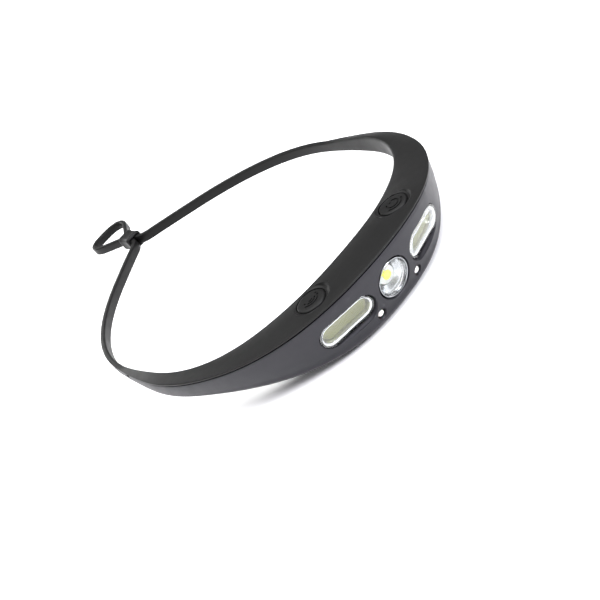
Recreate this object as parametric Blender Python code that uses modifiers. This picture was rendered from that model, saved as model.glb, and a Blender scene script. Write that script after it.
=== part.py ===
"""Silicone-band headlamp: a crescent lamp body, two straps, a sliding keeper and a tail loop.

Metres, +Z up. The wearer looks along -Y, so the lenses face -Y. The origin is under the middle of
the lamp, on the plane it stands on, and X = 0 is the mirror plane. Sizes below are millimetres.
"""

import math

import bmesh
import bpy
import numpy as np
from mathutils import Matrix, Vector

MM = 0.001

# Fits.
GAP = 0.3              # between two pieces that touch, snap or screw together
RUNNING = 0.25         # round a button cap, and between the keeper and the straps

# Overall sizes.
RING_HALF_WIDTH = 73.9     # middle to the ring's inner face at its widest
RING_REACH = 211.8         # forehead's inner face to the middle of the keeper
LOOP_REACH = 41.0          # middle of the keeper to the end of the tail loop
BODY_END = 140.0           # along the ring, from the middle to where the body becomes strap
BODY_DEPTH = 24.8          # forehead's inner face to the seam, at the middle
BODY_TOP = 28.2            # height of the seam at the middle
INNER_TOP = 27.1           # height of the top's inner edge at the middle
FOOT_DEPTH = BODY_DEPTH - 7.8  # depth of the bottom edge at the middle
BOTTOM_DROP = 0.9          # the underside falls this far from the bottom edge to the inner face

# Strap section: thickness is along the ring's normal, height is along Z.
STRAP_T = 2.7
STRAP_TOP = 19.0
STRAP_BOTTOM = 14.2
STRAP_R = 0.7

# Walls and edges of the lamp body.
SKIN = 2.0             # silicone
SHELL_T = 1.7          # front shell
SHELL_END = 132.0      # along the ring, to where the front shell tapers out
SHELL_R = 3.2          # the shell's bottom edge
CORNER_R = 1.4         # the silicone's inner edges
LIP = 1.3              # height of the silicone over the seam
SEAM_STEP = 0.6        # the shell lies this far behind the lip
CAVITY_END = 54.0      # along the ring, to where the hollow starts to close
CAVITY_FADE = 14.0

# Lenses and sensors, in the front face. Each has a place along the ring, a height, and how far its
# own flat rim sinks below the curved face.
FACE_TILT = 16.0       # degrees that the front face looks down
SPOT_Z = 14.3
SPOT_R = 8.0
SPOT_SINK = 1.1
STRIP_S = 19.05
STRIP_Z = 14.6
STRIP_HALF = 7.2       # half of its straight part
STRIP_R = 5.5
STRIP_SINK = 1.8
SENSOR_S = 9.85
SENSOR_Z = 6.2
SENSOR_R = 1.55
SENSOR_SINK = 0.85

# Buttons, in the top face.
BUTTON_S = 22.85
BUTTON_DEPTH = 0.4113 * BODY_DEPTH
BUTTON_R = 6.3
BUTTON_TRAVEL = 0.5
RECESS_MARGIN = 1.8    # recess radius less button radius
RECESS_DEPTH = 1.05
RECESS_TILT = 3.4      # degrees, the recess is deeper towards the front
CAP_STAND = 0.55       # cap above the recess floor
WEB = 1.0              # silicone left under the recess
FLANGE = 0.8           # the cap's flange stands out this far under the web

# Inside the lamp.
TRAY_END = 52.5        # the rear housing's end along the ring
TRAY_T = 1.2
CHAMFER = 1.0
SEAL_T = 0.8
SCREW_S = 47.5
SCREW_HEAD_R = 1.9
SCREW_R = 1.0
BATTERY = (40.0, BODY_DEPTH - 18.8, 13.0)
MAIN_BOARD = (22.0, 0.8, 12.0)
BUTTON_BOARD = (58.0, BODY_DEPTH - 19.4, 0.8)
SWITCH = (6.0, BODY_DEPTH / 2 - 7.0, 1.8)
PLUNGER_R = 1.2
PLUNGER_STAND = 0.7    # plunger above its switch
LEAD_R = 0.5

# Charging port, in the inner face on the right.
PORT_S = 36.5
PORT_Z = 14.6
COVER = (12.6, 6.6, 0.9)
SOCKET = (9.0, 3.2, 7.3)
SOCKET_WALL = 0.4
PLUG = (8.6, 2.6, 1.0)

# Keeper and tail loop.
KEEPER_LENGTH = 13.0
KEEPER_WALL = 1.6
LOOP_HALF_WIDTH = 12.6

# Worked out from the sizes above.
FOREHEAD_Y = (BODY_DEPTH - RING_REACH - LOOP_REACH) / 2
KEEPER_Y = FOREHEAD_Y + RING_REACH
STRAP_MID = (STRAP_TOP + STRAP_BOTTOM) / 2
RECESS_R = BUTTON_R + RECESS_MARGIN

# The ring's inner face in plan, from the forehead back to the keeper, as shares of the ring's half
# width and reach.
RING_PLAN = (
    (0.0, 0.0), (0.230, 0.007), (0.476, 0.042), (0.682, 0.089), (0.859, 0.158), (0.955, 0.238),
    (0.992, 0.335), (1.0, 0.425), (0.977, 0.524), (0.874, 0.633), (0.697, 0.730), (0.474, 0.812),
    (0.264, 0.874), (0.115, 0.916), (0.027, 0.945), (0.005, 0.968), (0.004, 1.0),
)

# How the body tapers to the strap, from 1 at the forehead to 0 at the strap. Columns: share of
# BODY_END, inner top edge, seam depth, seam height, foot depth, foot height.
TAPER = (
    (0.0, 1.0, 1.0, 1.0, 1.0, 1.0),
    (0.12, 0.96, 0.98, 0.98, 0.97, 0.96),
    (0.25, 0.76, 0.88, 0.81, 0.86, 0.77),
    (0.39, 0.60, 0.62, 0.64, 0.67, 0.37),
    (0.51, 0.56, 0.36, 0.52, 0.44, 0.09),
    (0.64, 0.53, 0.19, 0.37, 0.27, 0.01),
    (0.77, 0.42, 0.11, 0.22, 0.16, 0.0),
    (0.89, 0.20, 0.05, 0.10, 0.06, 0.0),
    (1.0, 0.0, 0.0, 0.0, 0.0, 0.0),
)

# Base colour, roughness and metallic of each finish.
LOOKS = {
    "silicone": ((0.028, 0.028, 0.030), 0.62, 0.0),
    "shell": ((0.055, 0.055, 0.062), 0.45, 0.0),
    "clear": ((0.80, 0.83, 0.85), 0.08, 0.0),
    "chrome": ((0.75, 0.76, 0.78), 0.15, 1.0),
    "phosphor": ((0.72, 0.74, 0.05), 0.5, 0.0),
    "board": ((0.02, 0.10, 0.05), 0.5, 0.0),
    "white": ((0.82, 0.82, 0.80), 0.3, 0.0),
    "steel": ((0.55, 0.55, 0.56), 0.3, 1.0),
    "foil": ((0.45, 0.46, 0.48), 0.35, 1.0),
    "black": ((0.02, 0.02, 0.02), 0.5, 0.0),
    "red": ((0.45, 0.03, 0.03), 0.45, 0.0),
    "seal": ((0.30, 0.07, 0.05), 0.6, 0.0),
}

for old in list(bpy.data.objects):
    bpy.data.objects.remove(old, do_unlink=True)
MODEL = bpy.data.collections.new("headlamp")
CUTTERS = bpy.data.collections.new("cutters")
for group in (MODEL, CUTTERS):
    bpy.context.scene.collection.children.link(group)


# ---------------------------------------------------------------- the ring in plan


def second_slopes(xs, ys, start_slope):
    """Second derivatives of a cubic spline with a set slope at its start and a free end."""
    n = len(xs)
    dx = np.diff(xs)
    slope = np.diff(ys) / dx
    a = np.zeros((n, n))
    b = np.zeros(n)
    a[0, 0] = 2 * dx[0]
    a[0, 1] = dx[0]
    b[0] = 6 * (slope[0] - start_slope)
    for i in range(1, n - 1):
        a[i, i - 1:i + 2] = dx[i - 1], 2 * (dx[i - 1] + dx[i]), dx[i]
        b[i] = 6 * (slope[i] - slope[i - 1])
    a[-1, -1] = 1.0
    return np.linalg.solve(a, b)


def spline(xs, ys, x, start_slope=0.0):
    """The smooth curve through the points, read at x."""
    xs = np.asarray(xs, float)
    ys = np.asarray(ys, float)
    m = second_slopes(xs, ys, start_slope)
    i = np.clip(np.searchsorted(xs, x) - 1, 0, len(xs) - 2)
    h = xs[i + 1] - xs[i]
    p = (xs[i + 1] - x) / h
    q = (x - xs[i]) / h
    return p * ys[i] + q * ys[i + 1] + ((p**3 - p) * m[i] + (q**3 - q) * m[i + 1]) * h * h / 6


def plan_curve(points, heading, steps=1200):
    """Distances, Xs and Ys along a smooth curve that starts in the given direction."""
    points = np.array(points, float)
    chord = np.concatenate([[0.0], np.cumsum(np.hypot(*np.diff(points, axis=0).T))])
    t = np.linspace(0.0, chord[-1], steps)
    x = spline(chord, points[:, 0], t, heading[0])
    y = spline(chord, points[:, 1], t, heading[1])
    run = np.concatenate([[0.0], np.cumsum(np.hypot(np.diff(x), np.diff(y)))])
    return run, x, y


RING = plan_curve([(RING_HALF_WIDTH * u, FOREHEAD_Y + RING_REACH * v) for u, v in RING_PLAN], (1.0, 0.0))
RING_LENGTH = RING[0][-1]
RING_GAP = RING[1][-1]     # half of the gap between the straps at the keeper


def ring_place(s):
    """(x, y) on the ring's inner face and its outward normal, at distance s: negative on the left."""
    run, xs, ys = RING
    side = -1.0 if s < 0 else 1.0
    d = min(abs(s), RING_LENGTH)
    ahead = min(d + 0.5, RING_LENGTH)
    behind = max(d - 0.5, 0.0)
    dx = np.interp(ahead, run, xs) - np.interp(behind, run, xs)
    dy = np.interp(ahead, run, ys) - np.interp(behind, run, ys)
    if d == 0.0:
        dy = 0.0
    size = math.hypot(dx, dy)
    return (side * np.interp(d, run, xs), np.interp(d, run, ys)), (side * dy / size, -dx / size)


def ring_point(s, depth, z):
    (x, y), (nx, ny) = ring_place(s)
    return (x + nx * depth, y + ny * depth, z)


def ring_frame(s, depth, z):
    """A frame on the ring: local X along it, Y up, Z out of it."""
    nx, ny = ring_place(s)[1]
    frame = Matrix(((-ny, 0.0, nx), (nx, 0.0, ny), (0.0, 1.0, 0.0))).to_4x4()
    frame.translation = ring_point(s, depth, z)
    return frame


# ---------------------------------------------------------------- the lamp body's sizes


def body_values(s):
    """Inner top height, seam depth and height, and foot depth and height at distance s."""
    rows = np.array(TAPER)
    share = min(abs(s) / BODY_END, 1.0)
    at_middle = (INNER_TOP, BODY_DEPTH, BODY_TOP, FOOT_DEPTH, BOTTOM_DROP)
    edge = STRAP_T + GAP
    at_strap = (STRAP_TOP + GAP, edge, STRAP_TOP + GAP, edge, STRAP_BOTTOM - GAP)
    parts = [float(spline(rows[:, 0], rows[:, k], share)) for k in range(1, 6)]
    return [end + (middle - end) * part for middle, end, part in zip(at_middle, at_strap, parts)]


def front_depth(z, values):
    """Depth of the front face at height z: from the seam to the foot, with a slight bulge."""
    _, seam, seam_z, foot, foot_z = values
    t = min(max((seam_z - z) / (seam_z - foot_z), 0.0), 1.0)
    return seam + (foot - seam) * t + 0.14 * (seam_z - foot_z) * t * (1 - t)


def top_height(depth, values):
    """Height of the slightly crowned top face."""
    top, seam, seam_z, _, _ = values
    t = depth / seam
    return top + (seam_z - top) * t + 2.0 * min(seam / 12, 1.0) * t * (1 - t)


def underside(depth, values):
    foot, foot_z = values[3], values[4]
    return foot_z - BOTTOM_DROP * (1 - depth / foot) * min(foot / 10, 1.0)


def lip_height(seam):
    return min(LIP, 0.32 * seam)


def seam_step(seam):
    return min(SEAM_STEP, 0.12 * seam)


def shell_wall(seam):
    return min(SHELL_T, 0.32 * seam)


def lip_depth(foot):
    """The underside changes from silicone to shell at this depth."""
    return max(foot - SHELL_R, foot * 0.55)


def hollow_floor(values):
    seam_z, foot_z = values[2], values[4]
    return foot_z + min(SKIN, 0.2 * (seam_z - foot_z))


def hollow_roof(values):
    return min(values[0], values[2]) - SKIN


def fading(s):
    """0 where the body is hollow, 1 where only the shell's rebate is left."""
    t = min(max((abs(s) - CAVITY_END) / CAVITY_FADE, 0.0), 1.0)
    return t * t * (3 - 2 * t)


# ---------------------------------------------------------------- objects


def material(name, look):
    colour, rough, metal = LOOKS[look]
    made = bpy.data.materials.new(name)
    made.use_nodes = True
    shader = made.node_tree.nodes["Principled BSDF"]
    shader.inputs["Base Color"].default_value = (*colour, 1.0)
    shader.inputs["Roughness"].default_value = rough
    shader.inputs["Metallic"].default_value = metal
    return made


def add_object(name, data, look, frame):
    """Links an object at a frame in millimetres. One with no look is a cutter."""
    obj = bpy.data.objects.new(name, data)
    placing = frame.copy()
    placing.translation = frame.translation * MM
    obj.matrix_world = placing
    if look is None:
        CUTTERS.objects.link(obj)
        obj.hide_render = True
        obj.display_type = "WIRE"
    else:
        MODEL.objects.link(obj)
        data.materials.append(material(name, look))
    return obj


def smooth(mesh):
    mesh.shade_smooth()
    mesh.set_sharp_from_angle(angle=math.radians(35))


def loft(name, rings, look, frame=Matrix(), closed=False):
    """Joins rings with the same number of points, in the frame's millimetres. Open ends are capped."""
    count = len(rings[0])
    verts = [(Vector(p) * MM)[:] for ring in rings for p in ring]
    faces = []
    for i in range(len(rings) if closed else len(rings) - 1):
        a = i * count
        b = (i + 1) % len(rings) * count
        for j in range(count):
            k = (j + 1) % count
            faces.append((a + j, a + k, b + k, b + j))
    if not closed:
        faces.append(tuple(range(count)))
        faces.append(tuple(range(len(verts) - count, len(verts))))
    mesh = bpy.data.meshes.new(name)
    mesh.from_pydata(verts, [], faces)
    work = bmesh.new()
    work.from_mesh(mesh)
    bmesh.ops.recalc_face_normals(work, faces=work.faces)
    work.to_mesh(mesh)
    work.free()
    smooth(mesh)
    return add_object(name, mesh, look, frame)


def turned(name, profile, look, frame, steps=24):
    """A turned piece. The profile's (radius, height) pairs run down its outer side."""
    mesh = bpy.data.meshes.new(name)
    points = [(0.0, profile[0][1])] + list(profile) + [(0.0, profile[-1][1])]
    edges = [(i, i + 1) for i in range(len(points) - 1)]
    mesh.from_pydata([(r * MM, 0.0, z * MM) for r, z in points], edges, [])
    obj = add_object(name, mesh, look, frame)
    spin = obj.modifiers.new("Spin", "SCREW")
    spin.steps = steps
    spin.render_steps = steps
    spin.use_merge_vertices = True
    spin.merge_threshold = 0.00001
    return obj


def cylinder(name, radius, low, high, look, frame, top_radius=None, steps=32):
    """A cylinder or cone along local Z."""
    work = bmesh.new()
    place = Matrix.Translation((0.0, 0.0, (low + high) / 2 * MM))
    bmesh.ops.create_cone(work, cap_ends=True, segments=steps, radius1=radius * MM,
                          radius2=(top_radius or radius) * MM, depth=(high - low) * MM, matrix=place)
    mesh = bpy.data.meshes.new(name)
    work.to_mesh(mesh)
    work.free()
    smooth(mesh)
    return add_object(name, mesh, look, frame)


def block(name, size, look, frame, bevel=0.3):
    """A box with rounded edges, centred on its frame."""
    work = bmesh.new()
    bmesh.ops.create_cube(work, size=MM, matrix=Matrix.Diagonal((*size, 1.0)))
    mesh = bpy.data.meshes.new(name)
    work.to_mesh(mesh)
    work.free()
    obj = add_object(name, mesh, look, frame)
    edge = obj.modifiers.new("Edges", "BEVEL")
    edge.width = bevel * MM
    edge.segments = 2
    return obj


def wire(name, points, radius, look):
    """A round lead through the points."""
    curve = bpy.data.curves.new(name, "CURVE")
    curve.dimensions = "3D"
    curve.bevel_depth = radius * MM
    curve.bevel_resolution = 2
    curve.use_fill_caps = True
    line = curve.splines.new("POLY")
    line.points.add(len(points) - 1)
    for point, place in zip(line.points, points):
        point.co = (*(Vector(place) * MM), 1.0)
    return add_object(name, curve, look, Matrix())


def boolean(target, tool, operation="DIFFERENCE"):
    step = target.modifiers.new(operation.title(), "BOOLEAN")
    step.operation = operation
    step.object = tool
    step.solver = "EXACT"


def capsule(half, radius, z, steps=24):
    """A stadium outline along local X."""
    ring = []
    for i in range(steps):
        a = 2 * math.pi * (i + 0.5) / steps
        shift = math.copysign(half, math.cos(a))
        ring.append((shift + radius * math.cos(a), radius * math.sin(a), z))
    return ring


def rounded(half_x, half_y, radius, z=0.0, steps=3):
    """A rectangle with round corners."""
    ring = []
    for sx, sy, start in ((1, 1, 0), (-1, 1, 90), (-1, -1, 180), (1, -1, 270)):
        for i in range(steps + 1):
            a = math.radians(start + 90 * i / steps)
            ring.append((sx * (half_x - radius) + radius * math.cos(a),
                         sy * (half_y - radius) + radius * math.sin(a), z))
    return ring


def stations(end, step):
    """Distances along the ring from -end to end."""
    count = round(2 * end / step)
    return [-end + 2 * end * i / count for i in range(count + 1)]


def tag(side):
    return "right" if side > 0 else "left"


# ---------------------------------------------------------------- silicone body and front shell


def silicone_section(s):
    """The body's C section as (depth, z), open to the front. It starts at the underside's front edge."""
    values = body_values(s)
    top, seam, seam_z, foot, foot_z = values
    edge = lip_depth(foot)
    lip = lip_height(seam)
    low = underside(0.0, values)
    r = min(CORNER_R, (top - low) / 5)
    outer = [(edge, underside(edge, values)), (0.3 * foot, underside(0.3 * foot, values)),
             (r, low), (0.3 * r, low + 0.3 * r), (0.0, low + r), (0.0, (low + top) / 2),
             (0.0, top - 0.7 * r), (0.2 * r, top - 0.2 * r), (0.7 * r, top)]
    outer += [(seam * t, top_height(seam * t, values)) for t in (0.3, 0.6, 0.85)]
    outer += [(seam - 0.35, seam_z), (seam, seam_z - 0.4), (seam - 0.25, seam_z - lip)]

    fade = fading(s)
    rebate = shell_wall(seam) + seam_step(seam) + GAP
    if abs(s) > SHELL_END + 2 * GAP:
        rebate *= 0.15
    skin = min(SKIN, 0.4 * seam)
    roof, floor = hollow_roof(values), hollow_floor(values)

    def back(z):
        return skin * (1 - fade) + (front_depth(z, values) - rebate) * fade

    def mixed(hollow_z, rebate_z):
        return hollow_z * (1 - fade) + rebate_z * fade

    shelf = front_depth(seam_z - lip, values) - rebate
    ceiling = min(seam_z - lip - 0.05, roof + 0.6)
    inner = [(shelf, seam_z - lip - 0.02),
             (shelf - 0.3, mixed(ceiling, seam_z - lip - 0.3)),
             (back(roof) + 0.6 * (1 - fade), mixed(roof, seam_z - lip - 0.9)),
             (back(roof - 1.2), roof - 1.2 - 0.5 * fade),
             (back(floor + 1.0), floor + 1.0),
             (back(floor) + 0.6 * (1 - fade), floor),
             (edge - 0.05 - 0.2 * fade, floor + 0.02)]
    return outer + inner


def shell_section(s):
    """The front shell from the seam down and round the bottom edge, then back inside."""
    values = body_values(s)
    _, seam, seam_z, foot, foot_z = values
    high = seam_z - lip_height(seam) - GAP
    r = min(SHELL_R, 0.22 * (seam_z - foot_z))
    outer = []
    for t in (0.0, 0.25, 0.5, 0.78):
        z = high + (foot_z + r - high) * t
        outer.append((front_depth(z, values) - seam_step(seam) * (1 - t), z))
    middle = front_depth(foot_z + r, values) - r
    for angle in (0, 35, 65, 90):
        a = math.radians(angle)
        outer.append((middle + r * math.cos(a), foot_z + r * (1 - math.sin(a))))
    back = lip_depth(foot) + GAP
    outer.append((min(back, middle - 0.2), underside(back, values)))

    thick = shell_wall(seam)
    inner = [(outer[0][0] - thick, outer[0][1])]
    for before, (d, z), after in zip(outer, outer[1:], outer[2:]):
        dx, dz = after[0] - before[0], after[1] - before[1]
        size = math.hypot(dx, dz)
        inner.append((d + dz / size * thick, z - dx / size * thick))
    inner.append((outer[-1][0], outer[-1][1] + thick))
    return outer + inner[::-1]


def along_ring(name, section, distances, look):
    return loft(name, [[ring_point(s, d, z) for d, z in section(s)] for s in distances], look)


def build_body():
    tips = [SHELL_END + 5 * GAP, (SHELL_END + BODY_END) / 2, BODY_END]
    distances = [-s for s in tips[::-1]] + stations(SHELL_END + 1.5 * GAP, 5.2) + tips
    body = along_ring("silicone_body", silicone_section, distances, "silicone")
    shell = along_ring("front_shell", shell_section, stations(SHELL_END, 5.2), "shell")
    return body, shell


# ---------------------------------------------------------------- straps, keeper and tail loop


def strap_section(_=0.0):
    """Rounded rectangle as (depth, z)."""
    half_t, half_h = STRAP_T / 2, (STRAP_TOP - STRAP_BOTTOM) / 2
    return [(half_t + x, STRAP_MID + z) for x, z, _ in rounded(half_t, half_h, STRAP_R, steps=2)]


def build_strap(side):
    first = BODY_END + GAP
    last = RING_LENGTH - 0.5 * GAP
    distances = [side * s for s in np.linspace(first, last, 35)]
    along_ring("strap_" + tag(side), strap_section, distances, "silicone")


def build_loop():
    """The straps' joined tail, from the keeper out round the loop and back."""
    leg = RING_GAP + STRAP_T / 2
    spread = LOOP_HALF_WIDTH - STRAP_T / 2 - leg
    wide = leg + spread
    start = KEEPER_Y + 0.5 * GAP
    back = KEEPER_Y + KEEPER_LENGTH / 2
    reach = LOOP_REACH - STRAP_T / 2 - KEEPER_LENGTH / 2
    half = ((leg, start), (leg, back + 0.5), (leg + 0.22 * spread, back + 0.18 * reach),
            (leg + 0.72 * spread, back + 0.46 * reach), (wide, back + 0.70 * reach),
            (0.86 * wide, back + 0.90 * reach), (0.45 * wide, back + 0.985 * reach), (0.0, back + reach))
    run, xs, ys = plan_curve(half, (0.0, 1.0), 400)
    at = np.linspace(0.0, run[-1], 26)
    right = [(np.interp(d, run, xs), np.interp(d, run, ys)) for d in at]
    path = right + [(-x, y) for x, y in right[-2::-1]]
    rings = []
    for i, (x, y) in enumerate(path):
        before = path[max(i - 1, 0)]
        after = path[min(i + 1, len(path) - 1)]
        dx, dy = after[0] - before[0], after[1] - before[1]
        size = math.hypot(dx, dy)
        rings.append([(x + dy / size * (d - STRAP_T / 2), y - dx / size * (d - STRAP_T / 2), z)
                      for d, z in strap_section()])
    loft("tail_loop", rings, "silicone")


def build_keeper():
    """A short sleeve round both straps, flared inside and rounded outside."""
    half_x = RING_GAP + STRAP_T + RUNNING
    half_z = (STRAP_TOP - STRAP_BOTTOM) / 2 + RUNNING
    half = KEEPER_LENGTH / 2
    rings = []
    for grow, radius, y in ((KEEPER_WALL - 0.5, 1.6, -half), (KEEPER_WALL, 2.0, 0.6 - half),
                            (KEEPER_WALL, 2.0, half - 0.6), (KEEPER_WALL - 0.5, 1.6, half),
                            (0.5, 1.0, half), (0.0, 0.7, half - 1.0),
                            (0.0, 0.7, 1.0 - half), (0.5, 1.0, -half)):
        rings.append([(x, y, z) for x, z, _ in rounded(half_x + grow, half_z + grow, radius)])
    loft("keeper", rings, "silicone", Matrix.Translation((0.0, KEEPER_Y, STRAP_MID)), closed=True)


# ---------------------------------------------------------------- lenses, LEDs and sensors


def face_frame(s, z, sink):
    """A frame in the front face: local X along the ring, Z out of the face."""
    depth = front_depth(z, body_values(s)) - sink
    return ring_frame(s, depth, z) @ Matrix.Rotation(math.radians(FACE_TILT), 4, "X")


def dish(name, half, rims, look, frame):
    """A capsule piece closed at both ends. The rims are (radius, height) pairs."""
    return loft(name, [capsule(half, r, z) for r, z in rims], look, frame)


def tube(name, half, rims, look, frame):
    """A capsule piece with a hole through it."""
    return loft(name, [capsule(half, r, z) for r, z in rims], look, frame, closed=True)


def cut_face(name, half, radius, shell, frame):
    boolean(shell, dish(name, half, ((radius + GAP, -6.0), (radius + GAP, 4.0)), None, frame))


def build_spot(shell):
    frame = face_frame(0.0, SPOT_Z, SPOT_SINK)
    seat = -SHELL_T - 0.7
    cut_face("spot_hole", 0.0, SPOT_R, shell, frame)
    tube("spot_bezel", 0.0,
         ((SPOT_R, seat), (SPOT_R, 0.2), (SPOT_R - 0.3, 0.5), (SPOT_R - 0.8, 0.4), (SPOT_R - 1.0, 0.0),
          (SPOT_R - 1.0, seat - 0.6), (SPOT_R + 0.6, seat - 0.6), (SPOT_R + 0.6, seat)), "chrome", frame)
    lens_r = SPOT_R - 1.0 - GAP
    arc = [math.radians(a) for a in (70, 45, 20)]
    dome = [(lens_r * math.cos(a), -0.4 + 1.9 * math.sin(a)) for a in arc]
    turned("spot_lens", dome + [(lens_r, -0.4), (lens_r, -1.8)], "clear", frame)
    tube("spot_reflector", 0.0,
         ((lens_r, -2.1), (lens_r - 0.7, -2.1), (0.66 * lens_r, -3.8), (0.42 * lens_r, -5.2),
          (0.52 * lens_r, -5.4), (0.76 * lens_r, -4.2)), "chrome", frame)
    block("spot_led", (3.4, 3.4, 0.8), "phosphor", frame @ Matrix.Translation((0.0, 0.0, -5.5)), 0.25)
    cylinder("spot_star_board", 0.775 * SPOT_R, -7.2, -6.2, "board", frame)


def build_strip(side, shell):
    hand = tag(side)
    frame = face_frame(side * STRIP_S, STRIP_Z, STRIP_SINK)
    seat = -SHELL_T - 1.5
    cut_face("strip_hole_" + hand, STRIP_HALF, STRIP_R, shell, frame)
    dish("strip_lens_" + hand, STRIP_HALF,
         ((STRIP_R - 1.1, -0.5), (STRIP_R - 1.1, seat - 0.7), (STRIP_R + 0.6, seat - 0.7),
          (STRIP_R + 0.6, seat), (STRIP_R, seat), (STRIP_R, 0.1), (STRIP_R - 0.3, 0.45),
          (STRIP_R - 0.9, 0.6)), "clear", frame)
    tube("strip_reflector_" + hand, STRIP_HALF,
         ((STRIP_R - 1.5, -2.0), (STRIP_R - 1.9, -2.0), (STRIP_R - 2.4, -4.5), (STRIP_R - 0.7, -4.5),
          (STRIP_R - 1.4, -4.1)), "chrome", frame)
    dish("cob_board_" + hand, STRIP_HALF, ((STRIP_R - 0.6, -5.8), (STRIP_R - 0.6, -4.9)), "board", frame)
    dish("cob_phosphor_" + hand, STRIP_HALF - 0.6, ((STRIP_R - 2.8, -4.6), (STRIP_R - 3.1, -3.9)), "phosphor",
         frame)


def build_sensor(side, shell):
    frame = face_frame(side * SENSOR_S, SENSOR_Z, SENSOR_SINK)
    cut_face("sensor_hole_" + tag(side), 0.0, SENSOR_R, shell, frame)
    window = ((SENSOR_R - 0.35, 0.2), (SENSOR_R, -0.1), (SENSOR_R, -1.9))
    turned("sensor_window_" + tag(side), window, "white", frame, 16)
    eye = ((0.5, -2.3), (1.1, -2.6), (1.5, -3.4), (1.5, -5.2))
    turned("ir_receiver" if side > 0 else "ir_emitter", eye, "black", frame, 16)


# ---------------------------------------------------------------- housing, seal and screws


def slab(name, end, inset, near, far, look):
    """A block in the silicone's hollow, inset in height, between two depths given by functions."""
    rings = []
    for s in stations(end, 6.0):
        values = body_values(s)
        low = hollow_floor(values) + GAP + inset
        high = hollow_roof(values) - GAP - inset
        middle = (low + high) / 2
        thick = far(high, values) - near(high, values)
        cut = CHAMFER if thick > 2 * CHAMFER else 0.0
        ring = [(near(high, values) + cut, high), (near(high - cut, values), high - cut - 0.01),
                (near(middle, values), middle),
                (near(low + cut, values), low + cut + 0.01), (near(low, values) + cut, low)]
        ring += [(far(z, values), z) for z in (low, middle, high)]
        rings.append([ring_point(s, d, z) for d, z in ring])
    return loft(name, rings, look)


def tray_back(z, values):
    return SKIN + GAP + 0.1


def shell_back(z, values):
    return front_depth(z, values) - SEAM_STEP - SHELL_T - GAP


def build_housing():
    tray = slab("rear_housing", TRAY_END, 0.0, tray_back,
                lambda z, v: shell_back(z, v) - SEAL_T - GAP, "black")
    room = slab("tray_room", TRAY_END - 1.5, TRAY_T, lambda z, v: tray_back(z, v) + TRAY_T,
                lambda z, v: shell_back(z, v) + 3.0, None)
    boolean(tray, room)
    seal = slab("housing_seal", TRAY_END, 0.1, lambda z, v: shell_back(z, v) - SEAL_T, shell_back, "seal")
    hole = slab("seal_hole", TRAY_END - 1.4, TRAY_T + 0.1, tray_back, lambda z, v: BODY_DEPTH + 15.0, None)
    boolean(seal, hole)
    boolean(seal, cylinder("spot_room", SPOT_R + 0.6 + GAP, -SHELL_T - 1.6, 2.0, None,
                           face_frame(0.0, SPOT_Z, SPOT_SINK)))
    return tray


def build_screw(side, shell, tray):
    """A screw through the tray's boss into the shell's, reached from behind."""
    hand = tag(side)
    z = PORT_Z + 1.0
    frame = ring_frame(side * SCREW_S, 0.0, z)
    wall = shell_back(z, body_values(SCREW_S))
    back = SKIN + GAP
    seat = back + 2.0
    split = back + 3.4
    tip = wall - 1.4
    for body, name, radius, low, high, operation in (
            (tray, "tray_boss_", SCREW_HEAD_R + 1.1, back + 0.4, split, "UNION"),
            (tray, "head_room_", SCREW_HEAD_R + GAP, -1.0, seat - 0.1, "DIFFERENCE"),
            (tray, "tray_bore_", SCREW_R + GAP, back + 1.0, split + 1.0, "DIFFERENCE"),
            (shell, "shell_boss_", SCREW_R + 1.5, split + GAP, wall + 0.9, "UNION"),
            (shell, "shell_bore_", SCREW_R + GAP, split - 1.0, tip + 0.2, "DIFFERENCE")):
        boolean(body, cylinder(name + hand, radius, low, high, None, frame, steps=16), operation)
    profile = ((0.5 * SCREW_R, tip), (SCREW_R, tip - 0.2), (SCREW_R, seat - 0.4), (SCREW_HEAD_R, seat - 0.5),
               (SCREW_HEAD_R, back + 0.4))
    turned("housing_screw_" + hand, profile, "steel", frame, 12)


# ---------------------------------------------------------------- battery, boards and buttons


def tray_floor(s):
    return hollow_floor(body_values(s)) + GAP + TRAY_T


BATTERY_Z = tray_floor(BATTERY[0] / 2) + 0.4
BOARD_Z = BATTERY_Z + BATTERY[2] + GAP
SWITCH_Z = BOARD_Z + BUTTON_BOARD[2] + GAP
PLUNGER_TOP = SWITCH_Z + SWITCH[2] + PLUNGER_STAND


def build_electronics():
    battery_y = FOREHEAD_Y - SKIN - GAP - TRAY_T - 0.9 - BATTERY[1] / 2
    board_y = battery_y - BATTERY[1] / 2 - GAP - MAIN_BOARD[1] / 2
    button_y = ring_point(BUTTON_S, BUTTON_DEPTH, 0.0)[1]
    # The button board reaches from the tray's back wall to the front of the switches.
    wall_y = FOREHEAD_Y - SKIN - GAP - 0.1 - TRAY_T - 0.8 * GAP
    width = wall_y - button_y + BUTTON_BOARD[1] / 2
    button_board = (BUTTON_BOARD[0], width, BUTTON_BOARD[2])
    for name, size, look, y, z, bevel in (
            ("battery_cell", BATTERY, "foil", battery_y, BATTERY_Z, 1.0),
            ("main_board", MAIN_BOARD, "board", board_y, BATTERY_Z + 0.4, 0.1),
            ("button_board", button_board, "board", wall_y - width / 2, BOARD_Z, 0.1)):
        block(name, size, look, Matrix.Translation((0.0, y, z + size[2] / 2)), bevel)
    start = BATTERY[0] / 2 + GAP + LEAD_R
    across = 0.2 * BATTERY[1]
    above = 1.2 * (1.2 - across)
    for name, look, side in (("positive", "red", -1), ("negative", "black", 1)):
        route = []
        for i in range(9):
            t = i / 8
            route.append((start + 2.5 * t * t * (3 - 2 * t), battery_y + side * across,
                          BATTERY_Z + BATTERY[2] / 2 + (side - 1) * above + 6.0 * t))
        wire("battery_lead_" + name, route, LEAD_R, look)


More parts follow.
